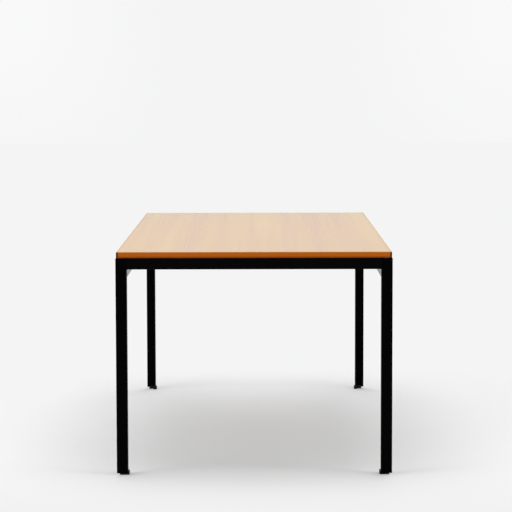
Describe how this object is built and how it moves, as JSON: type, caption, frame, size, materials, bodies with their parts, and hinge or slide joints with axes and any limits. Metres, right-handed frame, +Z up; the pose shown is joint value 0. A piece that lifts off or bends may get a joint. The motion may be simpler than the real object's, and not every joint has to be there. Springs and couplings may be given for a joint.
{
  "type": "communion table",
  "caption": "Long rectangular table with a plain timber top on a slim black frame of steel angle, a leg at each corner.",
  "frame": {"origin": "on the floor, under the middle of the table top", "axes": "+Z up, +Y along the length of the table from the front end to the rear end, +X across it from left to right"},
  "size_m": [0.88, 1.84, 0.715],
  "materials": {
    "timber": "satin lacquered pale veneer and lippings, lengthwise grain",
    "core_board": "raw laminated core board",
    "black_steel": "satin black powder coat",
    "shoe_plastic": "matte black moulded plastic",
    "zinc_steel": "bright zinc plate"
  },
  "bodies": {
    "root": {"veneer_leaf_1": "timber", "veneer_leaf_2": "timber", "veneer_leaf_3": "timber", "veneer_leaf_4": "timber", "lipping_front": "timber", "lipping_rear": "timber", "lipping_left": "timber", "lipping_right": "timber", "top_core": "core_board", "backing_veneer": "timber", "end_rail_front": "black_steel", "end_rail_rear": "black_steel", "side_rail_left": "black_steel", "side_rail_right": "black_steel", "cross_rail_front": "black_steel", "cross_rail_rear": "black_steel", "leg_front_left": "black_steel", "leg_front_right": "black_steel", "leg_rear_left": "black_steel", "leg_rear_right": "black_steel", "foot_shoe_front_left": "shoe_plastic", "foot_shoe_front_right": "shoe_plastic", "foot_shoe_rear_left": "shoe_plastic", "foot_shoe_rear_right": "shoe_plastic", "top_screws": "zinc_steel", "top_washers": "zinc_steel"}
  },
  "joints": []
}
